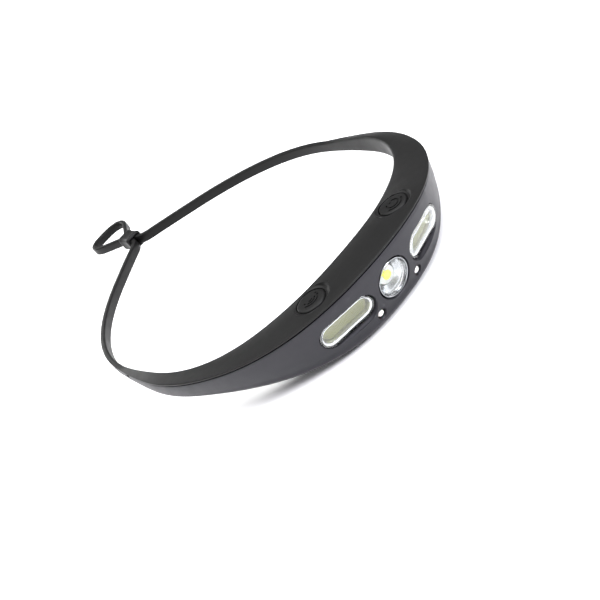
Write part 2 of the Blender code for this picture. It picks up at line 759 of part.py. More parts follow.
def build_button(side, body, tray):
    """A silicone cap in a scooped recess, its plunger, and the switch under it."""
    hand = tag(side)
    x, y, _ = ring_point(side * BUTTON_S, BUTTON_DEPTH, 0.0)
    floor = top_height(BUTTON_DEPTH, body_values(BUTTON_S)) - RECESS_DEPTH
    crown = floor + CAP_STAND
    flange_z = floor - WEB - GAP
    frame = Matrix.Translation((x, y, 0.0))
    scoop = Matrix.Translation((x, y, floor)) @ Matrix.Rotation(math.radians(RECESS_TILT), 4, "X")
    wide = BUTTON_R + FLANGE + 0.4
    for target, name, place, radius, low, high, top_radius in (
            (body, "recess_", scoop, RECESS_R, 0.0, 4.0, RECESS_R + 0.6),
            (body, "flange_room_", frame, wide, SWITCH_Z, floor - WEB, None),
            (body, "cap_hole_", frame, BUTTON_R + RUNNING, SWITCH_Z, BODY_TOP + 4.0, None),
            (tray, "stem_hole_", frame, wide, SWITCH_Z + 0.5, BODY_TOP, None)):
        boolean(target, cylinder(name + hand, radius, low, high, None, place, top_radius, 40))
    cap = ((BUTTON_R - 0.7, crown), (BUTTON_R - 0.2, crown - 0.15), (BUTTON_R, crown - 0.5),
           (BUTTON_R, flange_z), (BUTTON_R + FLANGE, flange_z), (BUTTON_R + FLANGE, flange_z - 0.6),
           (1.5, flange_z - 0.6), (1.5, PLUNGER_TOP + GAP))
    top = Matrix.Translation((x, y, crown))
    turned("button_cap_" + hand, [(r, z - crown) for r, z in cap], "silicone", top, 40)
    plunger = ((PLUNGER_R - 0.3, PLUNGER_TOP), (PLUNGER_R, PLUNGER_TOP - 0.3), (PLUNGER_R, PLUNGER_TOP - 1.5))
    turned("switch_plunger_" + hand, [(r, z - crown) for r, z in plunger], "white", top, 16)
    seat = Matrix.Translation((x, y, SWITCH_Z + SWITCH[2] / 2))
    switch = block("switch_" + hand, SWITCH, "black", seat, 0.2)
    pit = PLUNGER_TOP - 1.5 - BUTTON_TRAVEL - 0.1
    boolean(switch, cylinder("plunger_pit_" + hand, PLUNGER_R + GAP, pit, BODY_TOP, None, frame, steps=16))


# ---------------------------------------------------------------- charging port


def build_port(body, tray):
    """A socket behind an opening in the inner face, and its hinged cover."""
    frame = ring_frame(PORT_S, 0.0, PORT_Z)

    def opening(target, name, half_x, half_y, low, high):
        rings = [rounded(half_x, half_y, 1.4, z) for z in (low, high)]
        boolean(target, loft(name, rings, None, frame))

    opening(body, "cover_pocket", COVER[0] / 2 + GAP, COVER[1] / 2 + GAP, -4.0, COVER[2] + GAP)
    opening(body, "plug_room", SOCKET[0] / 2 + 0.4, SOCKET[1] / 2 + 0.4, 0.0, SKIN + 1.0)
    opening(tray, "socket_room", SOCKET[0] / 2 + 0.4, SOCKET[1] / 2 + 0.4, SKIN - 0.5, SKIN + TRAY_T + 2.0)
    hinge = frame @ Matrix.Translation((0.0, -COVER[1] / 2, 0.0))
    rings = [rounded(COVER[0] / 2, COVER[1] / 2, 1.1, z) for z in (0.0, COVER[2])]
    rings += [rounded(PLUG[0] / 2, PLUG[1] / 2, 1.2, COVER[2]),
              rounded(PLUG[0] / 2 - 0.1, PLUG[1] / 2 - 0.1, 1.1, COVER[2] + PLUG[2])]
    loft("port_cover", [[(x, y + COVER[1] / 2, z) for x, y, z in ring] for ring in rings], "silicone", hinge)
    mouth = SKIN + GAP + TRAY_T + 0.5
    middle = frame @ Matrix.Translation((0.0, 0.0, mouth + SOCKET[2] / 2))
    inside = (SOCKET[0] - 2 * SOCKET_WALL, SOCKET[1] - 2 * SOCKET_WALL, SOCKET[2])
    socket = block("usb_socket", SOCKET, "steel", middle, 0.8)
    boolean(socket, block("socket_mouth", inside, None, middle @ Matrix.Translation((0.0, 0.0, -1.4)), 0.5))


body, shell = build_body()
tray = build_housing()
for hand_side in (-1, 1):
    build_strap(hand_side)
    build_strip(hand_side, shell)
    build_sensor(hand_side, shell)
    build_screw(hand_side, shell, tray)
    build_button(hand_side, body, tray)
build_spot(shell)
build_electronics()
build_port(body, tray)
build_loop()
build_keeper()
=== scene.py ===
"""Looks of the silicone-band headlamp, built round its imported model.

Lengths in this script are millimetres and are turned to metres where a mesh is made. The frame is
the model's own: +Z up, the lenses face -Y, X = 0 is the mirror plane. Left is -X and right is +X,
as seen by someone who faces the lenses.
"""

import math

import bmesh
import bpy
import numpy as np
from mathutils import Matrix, Vector


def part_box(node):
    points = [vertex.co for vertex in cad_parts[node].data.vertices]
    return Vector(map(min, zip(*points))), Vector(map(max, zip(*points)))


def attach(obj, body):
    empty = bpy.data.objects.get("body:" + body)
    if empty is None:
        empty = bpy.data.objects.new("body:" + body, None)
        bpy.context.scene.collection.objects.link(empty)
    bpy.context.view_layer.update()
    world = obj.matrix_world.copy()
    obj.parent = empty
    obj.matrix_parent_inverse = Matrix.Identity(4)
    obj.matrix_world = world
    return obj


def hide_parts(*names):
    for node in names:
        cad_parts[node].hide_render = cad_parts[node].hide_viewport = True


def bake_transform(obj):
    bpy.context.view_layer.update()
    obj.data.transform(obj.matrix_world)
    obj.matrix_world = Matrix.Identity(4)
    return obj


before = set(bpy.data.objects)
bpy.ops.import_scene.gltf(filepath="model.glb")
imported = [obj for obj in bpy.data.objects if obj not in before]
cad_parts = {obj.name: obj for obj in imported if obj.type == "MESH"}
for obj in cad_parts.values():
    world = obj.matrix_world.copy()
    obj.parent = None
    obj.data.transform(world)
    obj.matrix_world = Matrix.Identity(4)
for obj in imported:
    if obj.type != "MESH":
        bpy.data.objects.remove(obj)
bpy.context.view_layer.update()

MM = 0.001


def cad_box(node):
    """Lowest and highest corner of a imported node, in millimetres."""
    low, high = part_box(node)
    return Vector(low) / MM, Vector(high) / MM


def cad_middle(node):
    low, high = cad_box(node)
    return (low + high) / 2


# ---------------------------------------------------------------- sizes

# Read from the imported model.
KEEPER_LOW, KEEPER_HIGH = cad_box("keeper")
KEEPER_Y = cad_middle("keeper").y
LOOP_LOW, LOOP_HIGH = cad_box("tail_loop")
STRAP_BOTTOM, STRAP_TOP = LOOP_LOW.z, LOOP_HIGH.z
STRAP_MID = (STRAP_TOP + STRAP_BOTTOM) / 2
CAP_TOP = cad_box("button_cap_left")[1].z
BUTTON_X = cad_middle("button_cap_right").x
BUTTON_Y = cad_middle("button_cap_right").y

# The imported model's own sizes, except SHELL_END, CORNER_R and LIP, which are set for the look and
# differ a little from the model's, and SEAM_GAP, which only this script has.
GAP = 0.3
RING_HALF_WIDTH = 73.9
RING_REACH = 211.8
FOREHEAD_Y = KEEPER_Y - RING_REACH
STRAP_T = 2.7
STRAP_R = 0.7
EDGE_R = STRAP_R + 0.2
PLAIN_INSET = 1.7     # beyond the shell, how far from its ends the front face's own points start
BODY_END = 140.0
BODY_DEPTH = 24.8
BODY_TOP = 28.2
INNER_TOP = 27.1
FOOT_DEPTH = 17.0
BOTTOM_DROP = 0.9
SKIN = 2.0
SHELL_T = 1.7
SHELL_END = 131.0
SHELL_R = 3.2
CORNER_R = 1.9
LIP = 0.8
SEAM_GAP = 0.8
SEAM_STEP = 0.6
CAVITY_END = 54.0
CAVITY_FADE = 14.0
FACE_TILT = 16.0
SPOT_Z = 14.3
SPOT_R = 8.0
SPOT_SINK = 1.1
STRIP_S = 19.05
STRIP_Z = 14.6
STRIP_HALF = 7.2
STRIP_R = 5.5
STRIP_SINK = 1.8
SENSOR_S = 9.85
SENSOR_Z = 6.2
SENSOR_R = 1.55
SENSOR_SINK = 0.85
BUTTON_R = 6.3
RUNNING = 0.25
CAP_STAND = 0.55
RECESS_TILT = 3.4
WEB = 1.0
FLANGE = 0.8
MARK_WIDTH = 0.75
MARK_DEPTH = 0.4
PORT_S = 36.5
PORT_Z = 14.6
COVER = (12.6, 6.6, 0.9)
LOOP_HALF_WIDTH = 12.6

# Plan of the ring's inner face, as shares of its half width and reach.
RING_PLAN = (
    (0.0, 0.0), (0.230, 0.007), (0.476, 0.042), (0.682, 0.089), (0.859, 0.158), (0.955, 0.238),
    (0.992, 0.335), (1.0, 0.425), (0.977, 0.524), (0.874, 0.633), (0.697, 0.730), (0.474, 0.812),
    (0.264, 0.874), (0.115, 0.916), (0.027, 0.945), (0.005, 0.968), (0.004, 1.0),
)

# Body's taper to the strap: share of BODY_END, then shares of the inner top edge, seam depth, seam
# height, foot depth and foot height, from 1 at the forehead to 0 at the strap.
TAPER = (
    (0.0, 1.0, 1.0, 1.0, 1.0, 1.0),
    (0.12, 0.96, 0.98, 0.98, 0.97, 0.96),
    (0.25, 0.76, 0.88, 0.81, 0.86, 0.77),
    (0.39, 0.60, 0.62, 0.64, 0.67, 0.37),
    (0.51, 0.56, 0.36, 0.52, 0.44, 0.09),
    (0.64, 0.53, 0.19, 0.37, 0.27, 0.01),
    (0.77, 0.42, 0.11, 0.22, 0.16, 0.0),
    (0.89, 0.20, 0.05, 0.10, 0.06, 0.0),
    (1.0, 0.0, 0.0, 0.0, 0.0, 0.0),
)


# ---------------------------------------------------------------- camera, lights and floor

CAMERA = {"azimuth": -21.33, "elevation": 27.57, "roll": 39.29, "lens": 57.8, "distance": 377.1}
CAMERA_TARGET = Vector((-21.1, -100.3, 18.8))

# Metres, watts and degrees. Azimuth 0 is in front of the lamp and 90 is towards +X.
FLOOR_Z = -0.0001
FLOOR_HALF = 30.0
LIGHT_AIM = Vector((0.0, -0.04, 0.0))
SOFTBOXES = (
    # name, azimuth, elevation, distance, size, power, tint
    ("front_band", 21, 31, 0.9, (0.40, 0.20), 8.0, (0.93, 0.93, 1.0)),
    ("left_band", -75, 30, 0.9, (0.40, 0.20), 0.8, (0.93, 0.92, 1.0)),
    ("back_band", 186, 12, 1.0, (0.45, 0.12), 1.3, (1.0, 1.0, 1.0)),
)

# Brightness of the room by height, from 0 at the horizon to 1 overhead.
HORIZON_LIGHT = 1.0
WALL_LIGHT = 0.08
TOP_LIGHT = 4.0
ROOM = ((0.09, HORIZON_LIGHT), (0.19, WALL_LIGHT), (0.62, WALL_LIGHT), (0.82, TOP_LIGHT))


def camera_matrix():
    """The camera's axes: it looks at the target from the azimuth and elevation, and is rolled."""
    a, e, r = (math.radians(CAMERA[name]) for name in ("azimuth", "elevation", "roll"))
    right = Vector((math.cos(a), math.sin(a), 0.0))
    back = Vector((math.sin(a) * math.cos(e), -math.cos(a) * math.cos(e), math.sin(e)))
    up = back.cross(right)
    across = math.cos(r) * right - math.sin(r) * up
    upwards = math.sin(r) * right + math.cos(r) * up
    placing = Matrix((across, upwards, back)).transposed().to_4x4()
    placing.translation = (CAMERA_TARGET + back * CAMERA["distance"]) * MM
    return placing


def build_camera():
    data = bpy.data.cameras.new("camera")
    data.lens = CAMERA["lens"]
    data.sensor_width = 36.0
    data.clip_start = 0.01
    camera = bpy.data.objects.new("camera", data)
    camera.matrix_world = camera_matrix()
    bpy.context.scene.collection.objects.link(camera)
    bpy.context.scene.camera = camera


def softbox(name, azimuth, elevation, distance, size, power, tint):
    """A rectangular area light that faces the lamp."""
    data = bpy.data.lights.new(name, "AREA")
    data.shape = "RECTANGLE"
    data.size, data.size_y = size
    data.energy = power
    data.color = tint
    light = bpy.data.objects.new(name, data)
    a, e = math.radians(azimuth), math.radians(elevation)
    back = Vector((math.sin(a) * math.cos(e), -math.cos(a) * math.cos(e), math.sin(e)))
    light.location = LIGHT_AIM + back * distance
    light.rotation_euler = back.to_track_quat("Z", "Y").to_euler()
    bpy.context.scene.collection.objects.link(light)


def build_studio():
    """White paper under a large overhead diffuser, with a darker band of studio wall between them."""
    world = bpy.data.worlds.new("studio")
    world.use_nodes = True
    tree = world.node_tree
    place = add(tree, "ShaderNodeTexCoord", {}).outputs["Generated"]
    height = add(tree, "ShaderNodeSeparateXYZ", {"Vector": place}).outputs["Z"]
    ramp_node = add(tree, "ShaderNodeValToRGB", {"Fac": height})
    stops = ramp_node.color_ramp.elements
    for i, (position, light) in enumerate(ROOM):
        # A new ramp already has two stops.
        stop = stops[i] if i < 2 else stops.new(position)
        stop.position = position
        stop.color = (light,) * 3 + (1.0,)
    tree.links.new(ramp_node.outputs["Color"], tree.nodes["Background"].inputs["Color"])
    bpy.context.scene.world = world
    bpy.context.scene.view_settings.view_transform = "Standard"
    for settings in SOFTBOXES:
        softbox(*settings)
    mesh = bpy.data.meshes.new("floor")
    signs = ((-1, -1), (1, -1), (1, 1), (-1, 1))
    corners = [(x * FLOOR_HALF, y * FLOOR_HALF, FLOOR_Z) for x, y in signs]
    mesh.from_pydata(corners, [], [(0, 1, 2, 3)])
    floor = bpy.data.objects.new("floor", mesh)
    bpy.context.scene.collection.objects.link(floor)
    floor.data.materials.append(pale_paper())


# ---------------------------------------------------------------- material helpers


def srgb(code):
    """A hex colour as the linear values that a shader takes."""
    parts = [int(code[i:i + 2], 16) / 255 for i in (0, 2, 4)]
    return tuple(c / 12.92 if c <= 0.04045 else ((c + 0.055) / 1.055) ** 2.4 for c in parts) + (1.0,)


def add(tree, kind, inputs, **settings):
    """Adds a node with its settings. An input given as another node's output is linked."""
    made = tree.nodes.new(kind)
    for key, value in settings.items():
        setattr(made, key, value)
    for key, value in inputs.items():
        if isinstance(value, bpy.types.NodeSocket):
            tree.links.new(value, made.inputs[key])
        else:
            made.inputs[key].default_value = value
    return made


def new_finish(name, **sockets):
    """A material's tree, its Principled shader with constant values set, and coordinates in metres."""
    made = bpy.data.materials.new(name)
    made.use_nodes = True
    tree = made.node_tree
    shader = tree.nodes["Principled BSDF"]
    for key, value in sockets.items():
        shader.inputs[key.replace("_", " ")].default_value = value
    place = add(tree, "ShaderNodeTexCoord", {}).outputs["Object"]
    return made, tree, shader, place


def feed(tree, shader, **patterns):
    """Links patterns to the shader's sockets, with _ for a space in a socket's name."""
    for key, value in patterns.items():
        tree.links.new(value, shader.inputs[key.replace("_", " ")])


def noise(tree, place, size_mm, detail=3.0):
    """Noise whose lumps are about this many millimetres across."""
    inputs = {"Vector": place, "Scale": 1000.0 / size_mm, "Detail": detail, "Roughness": 0.55}
    return add(tree, "ShaderNodeTexNoise", inputs).outputs["Fac"]


def spread(tree, value, low, high):
    """Stretches the middle of a noise's range onto another range."""
    inputs = {"Value": value, "From Min": 0.3, "From Max": 0.7, "To Min": low, "To Max": high}
    return add(tree, "ShaderNodeMapRange", inputs).outputs["Result"]


def two_tone(tree, factor, dark, light):
    mixed = add(tree, "ShaderNodeMix", {"Factor": factor}, data_type="RGBA")
    mixed.inputs[6].default_value = srgb(dark)
    mixed.inputs[7].default_value = srgb(light)
    return mixed.outputs[2]


def relief(tree, shader, height, strength, depth_mm):
    bump = add(tree, "ShaderNodeBump", {"Height": height, "Strength": strength, "Distance": depth_mm * MM})
    tree.links.new(bump.outputs["Normal"], shader.inputs["Normal"])


# ---------------------------------------------------------------- materials


def pale_paper():
    """Studio paper: matt, almost white."""
    made, tree, shader, place = new_finish("studio_paper", Roughness=0.9)
    feed(tree, shader, Base_Color=two_tone(tree, noise(tree, place, 400.0), "f4f4f4", "f7f7f7"))
    return made


def moulded_silicone(name, dark, light, rough):
    """Liquid silicone rubber from a spark-eroded mould: satin, with a faint bloom."""
    made, tree, shader, place = new_finish(name, IOR=1.41, Specular_IOR_Level=0.25)
    feed(tree, shader, Base_Color=two_tone(tree, noise(tree, place, 18.0), dark, light),
         Roughness=spread(tree, noise(tree, place, 7.0), rough - 0.04, rough + 0.04))
    # The real grain is about 0.05 mm. It is drawn at 0.35 mm so that it shows.
    relief(tree, shader, noise(tree, place, 0.35, 2.0), 0.12, 0.02)
    return made


def soft_touch_shell():
    """Injection-moulded PC/ABS with a fine erosion texture: charcoal with a cool cast and a soft sheen."""
    made, tree, shader, place = new_finish("soft_touch_pc_abs", IOR=1.5, Specular_IOR_Level=0.4,
                                           Specular_Tint=(0.93, 0.91, 1.0, 1.0))
    feed(tree, shader, Base_Color=two_tone(tree, noise(tree, place, 25.0), "131316", "19191c"),
         Roughness=spread(tree, noise(tree, place, 5.0), 0.38, 0.46))
    # Erosion texture of about 0.08 mm, drawn at 0.4 mm.
    relief(tree, shader, noise(tree, place, 0.4, 2.0), 0.10, 0.02)
    return made


def clear_polycarbonate():
    """Polished clear polycarbonate: sharp highlights and a slight flow ripple."""
    made, tree, shader, place = new_finish("clear_polycarbonate", IOR=1.58, Transmission_Weight=1.0)
    shader.inputs["Base Color"].default_value = srgb("fbfcfb")
    feed(tree, shader, Roughness=spread(tree, noise(tree, place, 2.0), 0.01, 0.05))
    relief(tree, shader, noise(tree, place, 4.0, 1.0), 0.05, 0.02)
    return made


def metallised(name, code, light, rough_low, rough_high, ripple_mm):
    """Metal plated or evaporated onto plastic: a bright mirror with a faint ripple."""
    made, tree, shader, place = new_finish(name, Metallic=1.0)
    feed(tree, shader, Base_Color=two_tone(tree, noise(tree, place, 3.0), code, light),
         Roughness=spread(tree, noise(tree, place, 1.0), rough_low, rough_high))
    relief(tree, shader, noise(tree, place, ripple_mm, 1.0), 0.08, 0.02)
    return made


def phosphor(name, dark, light, painted_glow):
    """Yellow phosphor in clear silicone over the chips, with a faint painted glow: its emission brightens
    the unlit LEDs.
    """
    made, tree, shader, place = new_finish(name, IOR=1.41, Coat_Weight=0.4, Coat_Roughness=0.1,
                                           Emission_Strength=painted_glow)
    shader.inputs["Emission Color"].default_value = srgb(light)
    feed(tree, shader, Base_Color=two_tone(tree, noise(tree, place, 0.5, 4.0), dark, light),
         Roughness=spread(tree, noise(tree, place, 0.3), 0.35, 0.6))
    relief(tree, shader, noise(tree, place, 0.25), 0.25, 0.02)
    return made


def circuit_board(name, mask, track):
    """Glass-epoxy board: copper tracks 0.5 mm wide that show as lines under the solder mask."""
    made, tree, shader, place = new_finish(name, IOR=1.5, Coat_Weight=0.3)
    lines = add(tree, "ShaderNodeTexBrick",
                {"Vector": place, "Scale": 250.0, "Mortar Size": 0.06, "Color1": (0.0, 0.0, 0.0, 1.0),
                 "Color2": (0.15, 0.15, 0.15, 1.0), "Mortar": (1.0, 1.0, 1.0, 1.0)}).outputs["Color"]
    feed(tree, shader, Base_Color=two_tone(tree, lines, mask, track),
         Roughness=spread(tree, noise(tree, place, 1.5), 0.28, 0.42))
    relief(tree, shader, lines, 0.3, 0.035)
    return made


def glazed_white(name, dark, light):
    """White opal plastic or ceramic: glossy, with a touch of depth."""
    made, tree, shader, place = new_finish(name, IOR=1.5, Subsurface_Weight=0.1, Subsurface_Scale=0.001)
    feed(tree, shader, Base_Color=two_tone(tree, noise(tree, place, 1.2), dark, light),
         Roughness=spread(tree, noise(tree, place, 0.8), 0.12, 0.25))
    relief(tree, shader, noise(tree, place, 0.6), 0.05, 0.02)
    return made


def moulded_plastic(name, dark, light, rough):
    """Plain moulded or extruded plastic: dull where it is rough, as on ABS, and glossy on epoxy."""
    made, tree, shader, place = new_finish(name, IOR=1.53)
    feed(tree, shader, Base_Color=two_tone(tree, noise(tree, place, 6.0), dark, light),
         Roughness=spread(tree, noise(tree, place, 2.0), rough - 0.06, rough + 0.06))
    relief(tree, shader, noise(tree, place, 0.3), 0.15, 0.02)
    return made


def worked_metal(name, code, light, rough, stretch):
    """Rolled or turned metal with fine lines along one direction."""
    made, tree, shader, place = new_finish(name, Metallic=1.0)
    along = add(tree, "ShaderNodeMapping", {"Vector": place, "Scale": stretch}).outputs["Vector"]
    grain = noise(tree, along, 0.6)
    feed(tree, shader, Base_Color=two_tone(tree, grain, code, light),
         Roughness=spread(tree, grain, rough - 0.08, rough + 0.08))
    relief(tree, shader, grain, 0.15, 0.01)
    return made


FINISH = {
    "silicone": moulded_silicone("moulded_silicone", "0e0e0e", "121212", 0.44),
    "cap": moulded_silicone("moulded_silicone_cap", "0e0e0e", "121212", 0.46),
    "shell": soft_touch_shell(),
    "clear": clear_polycarbonate(),
    "chrome": metallised("plated_rim", "8f9194", "a9abae", 0.10, 0.20, 0.8),
    # The cup's and the trough's vacuum metal are a darker and a lighter copy of one finish: painted shade in
    # the spot's cup, painted highlight on the strips' rims.
    "mirror": metallised("vacuum_metallised_reflector", "a4a7ab", "c3c6ca", 0.12, 0.24, 0.5),
    "painted_highlight_mirror": metallised("vacuum_metallised_trough", "dfe2e6", "f3f4f6", 0.10, 0.22, 0.5),
    # The last number is each phosphor's painted glow, an emission on LEDs that are not lit.
    "led": phosphor("led_phosphor", "dcde1c", "ecec38", 0.3),
    "cob": phosphor("cob_phosphor", "6c6f32", "85883c", 0.03),
    "white_board": circuit_board("white_aluminium_board", "d9dad6", "e6e6e2"),
    "green_board": circuit_board("green_circuit_board", "0d3b1e", "1d6a38"),
    "opal": glazed_white("opal_sensor_window", "e9e9e6", "f6f6f4"),
    "ceramic": glazed_white("led_ceramic", "e2e3df", "f0f0ee"),
    "black_plastic": moulded_plastic("black_abs", "101011", "19191a", 0.42),
    "dark_epoxy": moulded_plastic("infrared_epoxy", "0d0a12", "17131d", 0.18),
    "foil": worked_metal("pouch_foil", "8d9096", "b4b7bc", 0.38, (1.0, 1.0, 0.12)),
    "steel": worked_metal("plain_steel", "8b8c8e", "b9babc", 0.30, (1.0, 0.2, 1.0)),
    "red_pvc": moulded_plastic("red_lead_pvc", "8e1212", "a81a1a", 0.40),
    "black_pvc": moulded_plastic("black_lead_pvc", "141414", "1d1d1d", 0.40),
    "seal": moulded_silicone("seal_silicone", "7a2f1e", "8d3a27", 0.55),
}


# ---------------------------------------------------------------- the ring and the body's sizes


def second_slopes(xs, ys, start_slope):
    """Second derivatives of a cubic spline with a set slope at its start and a free end."""
    n = len(xs)
    dx = np.diff(xs)
    slope = np.diff(ys) / dx
    a = np.zeros((n, n))
    b = np.zeros(n)
    a[0, 0] = 2 * dx[0]
    a[0, 1] = dx[0]
    b[0] = 6 * (slope[0] - start_slope)
    for i in range(1, n - 1):
        a[i, i - 1:i + 2] = dx[i - 1], 2 * (dx[i - 1] + dx[i]), dx[i]
        b[i] = 6 * (slope[i] - slope[i - 1])
    a[-1, -1] = 1.0
    return np.linalg.solve(a, b)


def spline(xs, ys, x, start_slope=0.0):
    """The smooth curve through the points, read at x."""
    xs = np.asarray(xs, float)
    ys = np.asarray(ys, float)
    m = second_slopes(xs, ys, start_slope)
    i = np.clip(np.searchsorted(xs, x) - 1, 0, len(xs) - 2)
    h = xs[i + 1] - xs[i]
    p = (xs[i + 1] - x) / h
    q = (x - xs[i]) / h
    return p * ys[i] + q * ys[i + 1] + ((p**3 - p) * m[i] + (q**3 - q) * m[i + 1]) * h * h / 6


def plan_curve(points, heading, steps=1200):
    """Distances, Xs and Ys along a smooth curve that starts in the given direction."""
    points = np.array(points, float)
    chord = np.concatenate([[0.0], np.cumsum(np.hypot(*np.diff(points, axis=0).T))])
    t = np.linspace(0.0, chord[-1], steps)
    x = spline(chord, points[:, 0], t, heading[0])
    y = spline(chord, points[:, 1], t, heading[1])
    run = np.concatenate([[0.0], np.cumsum(np.hypot(np.diff(x), np.diff(y)))])
    return run, x, y


RING = plan_curve([(RING_HALF_WIDTH * u, FOREHEAD_Y + RING_REACH * v) for u, v in RING_PLAN], (1.0, 0.0))
RING_LENGTH = RING[0][-1]
RING_GAP = RING[1][-1]


def ring_place(s):
    """(x, y) on the ring's inner face and its outward normal, at distance s: negative on the left."""
    run, xs, ys = RING
    side = -1.0 if s < 0 else 1.0
    d = min(abs(s), RING_LENGTH)
    ahead = min(d + 0.5, RING_LENGTH)
    behind = max(d - 0.5, 0.0)
    dx = np.interp(ahead, run, xs) - np.interp(behind, run, xs)
    dy = np.interp(ahead, run, ys) - np.interp(behind, run, ys)
    if d == 0.0:
        dy = 0.0
    size = math.hypot(dx, dy)
    return (side * np.interp(d, run, xs), np.interp(d, run, ys)), (side * dy / size, -dx / size)


def ring_point(s, depth, z):
    (x, y), (nx, ny) = ring_place(s)
    return (x + nx * depth, y + ny * depth, z)


def ring_frame(s, depth, z):
    """A frame on the ring: local X along it, Y up, Z out of it."""
    nx, ny = ring_place(s)[1]
    placing = Matrix(((-ny, 0.0, nx), (nx, 0.0, ny), (0.0, 1.0, 0.0))).to_4x4()
    placing.translation = ring_point(s, depth, z)
    return placing


TAPER_ROWS = np.array(TAPER)


def body_values(s):
    """Inner top height, seam depth and height, and foot depth and height at distance s."""
    share = min(abs(s) / BODY_END, 1.0)
    at_middle = (INNER_TOP, BODY_DEPTH, BODY_TOP, FOOT_DEPTH, BOTTOM_DROP)
    at_strap = (STRAP_TOP, STRAP_T, STRAP_TOP, STRAP_T, STRAP_BOTTOM)
    parts = [float(spline(TAPER_ROWS[:, 0], TAPER_ROWS[:, k], share)) for k in range(1, 6)]
    return [end + (middle - end) * part for middle, end, part in zip(at_middle, at_strap, parts)]


def front_depth(z, values):
    """Depth of the front face at height z: straight from seam to foot, with a slight bulge."""
    _, seam, seam_z, foot, foot_z = values
    t = min(max((seam_z - z) / (seam_z - foot_z), 0.0), 1.0)
    return seam + (foot - seam) * t + 0.14 * (seam_z - foot_z) * t * (1 - t) * min(seam / 6 - 0.45, 1.0)


def top_height(depth, values):
    """Height of the top face at this depth: straight from the ring to the seam, with a slight crown."""
    top, seam, seam_z, _, _ = values
    t = depth / seam
    return top + (seam_z - top) * t + 2.0 * min(seam / 12, 1.0) * t * (1 - t)


def underside(depth, values):
    """Height of the underside at this depth."""
    foot, foot_z = values[3], values[4]
    return foot_z - BOTTOM_DROP * (1 - depth / foot) * min(foot / 10, 1.0)


def lip_height(seam):
    return min(LIP, 0.32 * seam)


def seam_step(seam):
    return min(SEAM_STEP, 0.12 * seam)


def shell_wall(seam):
    return min(SHELL_T, 0.32 * seam)


def lip_depth(foot):
    return max(foot - SHELL_R, foot * 0.55)


def ramp(value, start, end):
    """0 before start, 1 after end, and smooth between them."""
    t = min(max((value - start) / (end - start), 0.0), 1.0)
    return t * t * (3 - 2 * t)


# ---------------------------------------------------------------- mesh helpers

ROUND_STEPS = 96
SHARP_ANGLE = 32.0    # edges that turn by more than this many degrees stay sharp


def finish_mesh(name, mesh, finish, angle):
    mesh.shade_smooth()
    mesh.set_sharp_from_angle(angle=math.radians(angle))
    piece = bpy.data.objects.new(name, mesh)
    bpy.context.scene.collection.objects.link(piece)
    if finish:
        mesh.materials.append(FINISH[finish])
    return piece


def loft(name, rings, finish, placing=Matrix(), closed=False, angle=SHARP_ANGLE):
    """Joins rings with the same number of points. Open ends are capped."""
    count = len(rings[0])
    verts = [((placing @ Vector(p)) * MM)[:] for ring in rings for p in ring]
    faces = []
    for i in range(len(rings) if closed else len(rings) - 1):
        a = i * count
        b = (i + 1) % len(rings) * count
        faces += [(a + j, a + (j + 1) % count, b + (j + 1) % count, b + j) for j in range(count)]
    if not closed:
        faces.append(tuple(range(count)))
        faces.append(tuple(range(len(verts) - count, len(verts))))
    mesh = bpy.data.meshes.new(name)
    mesh.from_pydata(verts, [], faces)
    work = bmesh.new()
    work.from_mesh(mesh)
    bmesh.ops.recalc_face_normals(work, faces=work.faces)
    work.to_mesh(mesh)
    work.free()
    return finish_mesh(name, mesh, finish, angle)


def rounded_path(corners, steps=5):
    """A closed outline from (a, b, radius) corners. A corner whose radius isn't None becomes a curve."""
    path = []
    count = len(corners)
    for i, (a, b, radius) in enumerate(corners):
        here = Vector((a, b))
        if radius is None:
            path.append((a, b))
            continue
        arms = []
        for other in (corners[i - 1], corners[(i + 1) % count]):
            arm = Vector(other[:2]) - here
            arms.append(here + arm.normalized() * min(max(radius, 0.02), 0.48 * arm.length))
        for k in range(steps + 1):
            t = k / steps
            point = arms[0] * (1 - t) ** 2 + here * 2 * t * (1 - t) + arms[1] * t * t
            path.append((point.x, point.y))
    return path


def capsule(half, radius, z):
    """A stadium outline along local X."""
    ring = []
    for i in range(ROUND_STEPS):
        a = 2 * math.pi * (i + 0.5) / ROUND_STEPS
        ring.append((math.copysign(half, math.cos(a)) + radius * math.cos(a), radius * math.sin(a), z))
    return ring


def rounded(half_x, half_y, radius, z=0.0, steps=8):
    ring = []
    for sx, sy, start in ((1, 1, 0), (-1, 1, 90), (-1, -1, 180), (1, -1, 270)):
        for i in range(steps + 1):
            a = math.radians(start + 90 * i / steps)
            ring.append((sx * (half_x - radius) + radius * math.cos(a),
                         sy * (half_y - radius) + radius * math.sin(a), z))
    return ring


def spun(name, half, profile, finish, placing, closed=False, angle=SHARP_ANGLE):
    """A piece with a capsule plan, or a round one where half is 0, from a rounded profile."""
    return loft(name, [capsule(half, r, z) for r, z in profile], finish, placing, closed, angle)


def cut(piece, tools):
    """Cuts the tools from the piece and removes them."""
    for tool in tools:
        step = piece.modifiers.new("Cut", "BOOLEAN")
        step.operation = "DIFFERENCE"
        step.object = tool
        step.solver = "EXACT"
    bpy.context.view_layer.update()
    graph = bpy.context.evaluated_depsgraph_get()
    made = bpy.data.meshes.new_from_object(piece.evaluated_get(graph))
    piece.modifiers.clear()
    piece.data = made
    for tool in tools:
        bpy.data.objects.remove(tool)
    made.shade_smooth()
    made.set_sharp_from_angle(angle=math.radians(SHARP_ANGLE))


